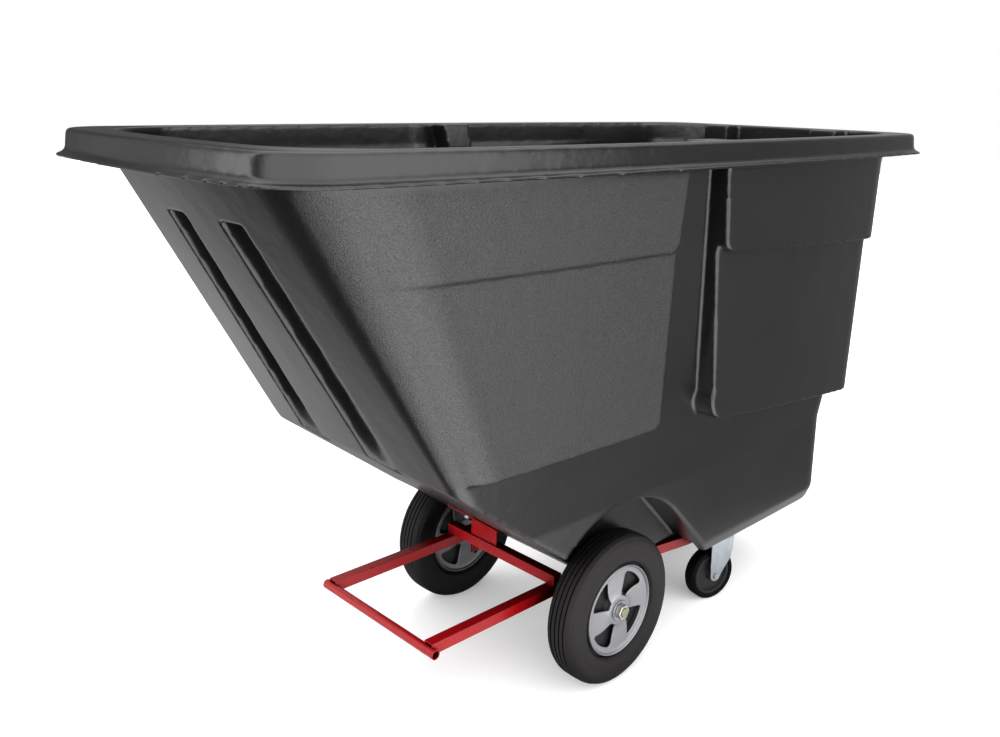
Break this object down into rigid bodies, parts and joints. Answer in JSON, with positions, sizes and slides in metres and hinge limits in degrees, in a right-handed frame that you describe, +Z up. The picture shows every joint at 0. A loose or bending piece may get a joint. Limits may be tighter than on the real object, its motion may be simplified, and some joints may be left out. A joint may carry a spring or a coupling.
{
  "type": "tilt truck",
  "caption": "Wheeled waste tilt truck: a sloped moulded tub on a steel tube frame that rolls on large wheels and swivel casters and tips forward to empty.",
  "frame": {"origin": "on the floor below the centre of the bounding box", "axes": "+Z up; +X towards the tall end over the casters, -X towards the low dumping end; the left side is -Y"},
  "size_m": [1.8328, 0.8526, 1.11],
  "materials": {
    "tub_plastic": "satin moulded skin, fine grain on the side panels",
    "frame_paint": "gloss powder coat",
    "axle_steel": "bright drawn bar",
    "tyre_rubber": "matt",
    "wheel_core_plastic": "matt",
    "disc_silver": "silver paint on pressed steel",
    "zinc": "bright zinc plate",
    "yellow_zinc": "yellow zinc plate",
    "caster_rubber": "matt"
  },
  "bodies": {
    "truck": {"tub": "tub_plastic", "frame_rail_left": "frame_paint", "frame_rail_right": "frame_paint", "front_rest_tube": "frame_paint", "front_cross_tube": "frame_paint", "rear_cross_tube": "frame_paint", "tub_bracket": "frame_paint", "axle_hanger_left": "frame_paint", "axle_hanger_right": "frame_paint", "axle": "axle_steel", "axle_spacer_left": "zinc", "axle_washer_left": "zinc", "axle_nut_left": "yellow_zinc", "caster_plate_left": "zinc", "axle_spacer_right": "zinc", "axle_washer_right": "zinc", "axle_nut_right": "yellow_zinc", "caster_plate_right": "zinc", "bracket_bolt": "zinc", "bracket_nut": "zinc", "tub_washers": "zinc", "tub_bolts_rail": "zinc", "tub_nuts_rail": "zinc", "caster_plate_bolts": "zinc"},
    "wheel_left": {"wheel_tyre_left": "tyre_rubber", "wheel_core_left": "wheel_core_plastic", "wheel_disc_outer_left": "disc_silver", "wheel_disc_inner_left": "disc_silver", "wheel_sleeve_left": "zinc"},
    "swivel_left": {"caster_fork_left": "zinc", "caster_bush_left": "zinc", "caster_bolt_left": "zinc", "caster_nut_left": "zinc"},
    "caster_wheel_left": {"caster_tread_left": "caster_rubber", "caster_hub_left": "wheel_core_plastic"},
    "wheel_right": {"wheel_tyre_right": "tyre_rubber", "wheel_core_right": "wheel_core_plastic", "wheel_disc_outer_right": "disc_silver", "wheel_disc_inner_right": "disc_silver", "wheel_sleeve_right": "zinc"},
    "swivel_right": {"caster_fork_right": "zinc", "caster_bush_right": "zinc", "caster_bolt_right": "zinc", "caster_nut_right": "zinc"},
    "caster_wheel_right": {"caster_tread_right": "caster_rubber", "caster_hub_right": "wheel_core_plastic"}
  },
  "joints": [
    {"name": "wheel_spin_left", "type": "hinge", "parent": "truck", "child": "wheel_left", "pos_m": [-0.054, -0.235, 0.15875], "axis": [0, 1, 0], "continuous": true},
    {"name": "caster_swivel_left", "type": "hinge", "parent": "truck", "child": "swivel_left", "pos_m": [0.418, -0.197, 0.16], "axis": [0, 0, 1], "continuous": true},
    {"name": "caster_spin_left", "type": "hinge", "parent": "swivel_left", "child": "caster_wheel_left", "pos_m": [0.38404, -0.18853, 0.0635], "axis": [0.2419, 0.9703, 0], "continuous": true},
    {"name": "wheel_spin_right", "type": "hinge", "parent": "truck", "child": "wheel_right", "pos_m": [-0.054, 0.235, 0.15875], "axis": [0, 1, 0], "continuous": true},
    {"name": "caster_swivel_right", "type": "hinge", "parent": "truck", "child": "swivel_right", "pos_m": [0.418, 0.197, 0.16], "axis": [0, 0, 1], "continuous": true},
    {"name": "caster_spin_right", "type": "hinge", "parent": "swivel_right", "child": "caster_wheel_right", "pos_m": [0.38343, 0.19153, 0.0635], "axis": [-0.1564, 0.9877, 0], "continuous": true}
  ]
}
